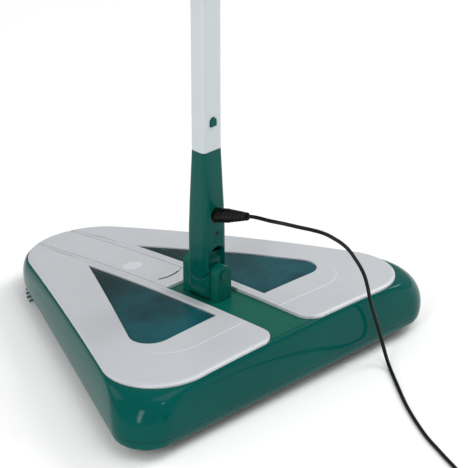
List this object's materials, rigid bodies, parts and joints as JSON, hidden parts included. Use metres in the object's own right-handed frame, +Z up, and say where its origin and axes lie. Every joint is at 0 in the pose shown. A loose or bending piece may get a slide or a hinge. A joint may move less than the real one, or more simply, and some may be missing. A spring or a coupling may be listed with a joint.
{
  "type": "carpet sweeper",
  "caption": "Cordless triangular carpet sweeper: tufted rollers along all three edges geared together, twin dust bins, universally jointed upright handle, plug-in charging lead",
  "frame": {"origin": "on the floor, under the middle of the head's bounding box", "axes": "+X across the rear edge to the right seen from behind, +Y from the rear edge to the nose, +Z up along the parked handle"},
  "size_m": [0.3, 0.4973, 1.0821],
  "materials": {
    "bumper_green": "moulded, fine grain",
    "deck_green": "moulded, satin",
    "silver": "silver lacquer on plastic",
    "window": "tinted clear plastic",
    "dark_green": "moulded",
    "black_plastic": "moulded",
    "steel": "plated",
    "nylon": "natural nylon",
    "bristle": "nylon bristle",
    "cell": "shrink sleeve",
    "brass": "turned",
    "belt_rubber": "moulded",
    "foot_plastic": "slippery nylon",
    "light_pipe": "clear green",
    "board": "lacquered laminate",
    "tube_grey": "pale grey powder coat",
    "cord_black": "flexible sheath"
  },
  "bodies": {
    "head": {"base_tray": "dark_green", "bumper": "bumper_green", "top_deck": "deck_green", "left_cover": "silver", "right_cover": "silver", "centre_pad": "silver", "left_window": "window", "right_window": "window", "battery_cells": "cell", "battery_cradle": "black_plastic", "housing_screws": "steel", "glide_feet": "foot_plastic", "left_dust_bin": "deck_green", "right_dust_bin": "deck_green", "door_pins": "steel", "roller_bushes": "nylon", "nose_brushes": "bristle", "motor": "steel", "motor_cradle": "black_plastic", "drive_belt": "belt_rubber", "handle_yoke": "deck_green", "yoke_screws": "steel", "swivel_pin": "steel", "charger_cord": "cord_black", "cord_coil": "cord_black", "coil_tie": "black_plastic", "adapter_lead": "cord_black", "wall_adapter": "black_plastic"},
    "battery_lid": {"battery_lid": "silver"},
    "left_door": {"left_dust_door": "dark_green"},
    "right_door": {"right_dust_door": "dark_green"},
    "rear_roller": {"rear_roller_core": "black_plastic", "rear_roller_tufts": "bristle", "rear_gears": "nylon", "roller_pulley": "black_plastic"},
    "left_roller": {"left_roller_core": "black_plastic", "left_roller_tufts": "bristle", "left_gear": "nylon"},
    "right_roller": {"right_roller_core": "black_plastic", "right_roller_tufts": "bristle", "right_gear": "nylon"},
    "motor_pulley": {"motor_pulley": "brass"},
    "knuckle": {"knuckle": "deck_green", "recline_pin": "steel"},
    "handle": {"neck_front": "deck_green", "neck_back": "deck_green", "neck_screws": "steel", "charging_socket": "black_plastic", "charge_light": "light_pipe", "charge_board": "board", "tube_spigot": "black_plastic", "lower_tube": "tube_grey", "button_spring": "steel", "tube_joiner": "black_plastic", "upper_tube": "tube_grey", "grip": "deck_green", "hanging_cap": "deck_green", "charger_plug": "cord_black"},
    "snap_button": {"snap_button": "deck_green"},
    "power_button": {"power_button": "silver"}
  },
  "joints": [
    {"name": "lid_lift", "type": "slide", "parent": "head", "child": "battery_lid", "axis": [0, 0, 1], "range_m": [0, 0.03]},
    {"name": "left_door_hinge", "type": "hinge", "parent": "head", "child": "left_door", "pos_m": [-0.058, -0.089, 0.0102], "axis": [1, 0, 0], "range_deg": [-80, 0]},
    {"name": "right_door_hinge", "type": "hinge", "parent": "head", "child": "right_door", "pos_m": [0.058, -0.089, 0.0102], "axis": [1, 0, 0], "range_deg": [-80, 0]},
    {"name": "rear_roller_spin", "type": "hinge", "parent": "head", "child": "rear_roller", "pos_m": [0, -0.11953, 0.014], "axis": [1, 0, 0], "continuous": true},
    {"name": "left_roller_spin", "type": "hinge", "parent": "head", "child": "left_roller", "pos_m": [-0.13429, -0.11953, 0.014], "axis": [0.4254, 0.905, 0], "continuous": true},
    {"name": "right_roller_spin", "type": "hinge", "parent": "head", "child": "right_roller", "pos_m": [0.13429, -0.11953, 0.014], "axis": [-0.4254, 0.905, 0], "continuous": true},
    {"name": "motor_spin", "type": "hinge", "parent": "head", "child": "motor_pulley", "pos_m": [0.016, -0.084, 0.033], "axis": [1, 0, 0], "continuous": true},
    {"name": "side_swing", "type": "hinge", "parent": "head", "child": "knuckle", "pos_m": [0, -0.045, 0.0689], "axis": [0, 1, 0], "range_deg": [-45, 45], "deforming": ["charger_cord"]},
    {"name": "recline", "type": "hinge", "parent": "knuckle", "child": "handle", "pos_m": [0, -0.045, 0.0754], "axis": [1, 0, 0], "range_deg": [0, 50], "deforming": ["charger_cord"]},
    {"name": "snap_press", "type": "slide", "parent": "handle", "child": "snap_button", "axis": [0, 1, 0], "range_m": [0, 0.0022], "stiffness_N_per_m": 900, "springref_m": -0.001, "deforming": ["button_spring"]},
    {"name": "power_press", "type": "slide", "parent": "handle", "child": "power_button", "axis": [0, 1, 0], "range_m": [0, 0.0015], "stiffness_N_per_m": 900, "springref_m": -0.001}
  ],
  "couplings": [
    {"joint": "left_roller_spin", "follows": "rear_roller_spin", "ratio": -1},
    {"joint": "right_roller_spin", "follows": "rear_roller_spin", "ratio": 1},
    {"joint": "motor_spin", "follows": "rear_roller_spin", "ratio": 2}
  ]
}
